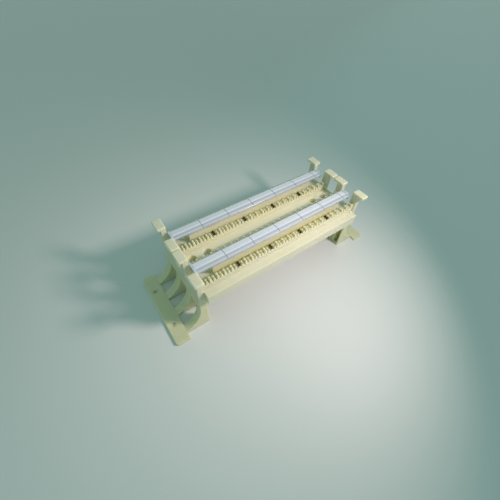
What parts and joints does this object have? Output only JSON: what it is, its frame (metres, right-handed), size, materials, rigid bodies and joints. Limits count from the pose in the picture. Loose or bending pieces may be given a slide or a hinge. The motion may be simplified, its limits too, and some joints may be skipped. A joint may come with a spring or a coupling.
{
  "type": "punch down wiring block",
  "caption": "Wall-mount punch down block: toothed index strips on a deck between wire posts, clear label holders and hollow stand-off legs.",
  "frame": {"origin": "centre of the mounting plane under the two legs", "axes": "+X along the index strips, +Y across them, +Z away from the mounting surface"},
  "size_m": [0.2718, 0.0914, 0.0825],
  "materials": {
    "block_plastic": "moulded satin cream",
    "leg_plastic": "moulded satin cream",
    "clear_plastic": "clear extruded, glossy",
    "label_card": "smooth card"
  },
  "bodies": {
    "block": {"wiring_block": "block_plastic", "leg_left": "leg_plastic", "leg_right": "leg_plastic"},
    "front_holder": {"label_holder_front": "clear_plastic"},
    "rear_holder": {"label_holder_rear": "clear_plastic"},
    "front_label": {"label_insert_front": "label_card"},
    "rear_label": {"label_insert_rear": "label_card"}
  },
  "joints": [
    {"name": "front_holder_lift", "type": "slide", "parent": "block", "child": "front_holder", "axis": [0, 0, 1], "range_m": [0, 0.04]},
    {"name": "rear_holder_lift", "type": "slide", "parent": "block", "child": "rear_holder", "axis": [0, 0, 1], "range_m": [0, 0.04]},
    {"name": "front_label_slide", "type": "slide", "parent": "front_holder", "child": "front_label", "axis": [1, 0, 0], "range_m": [0, 0.195]},
    {"name": "rear_label_slide", "type": "slide", "parent": "rear_holder", "child": "rear_label", "axis": [1, 0, 0], "range_m": [0, 0.195]}
  ]
}
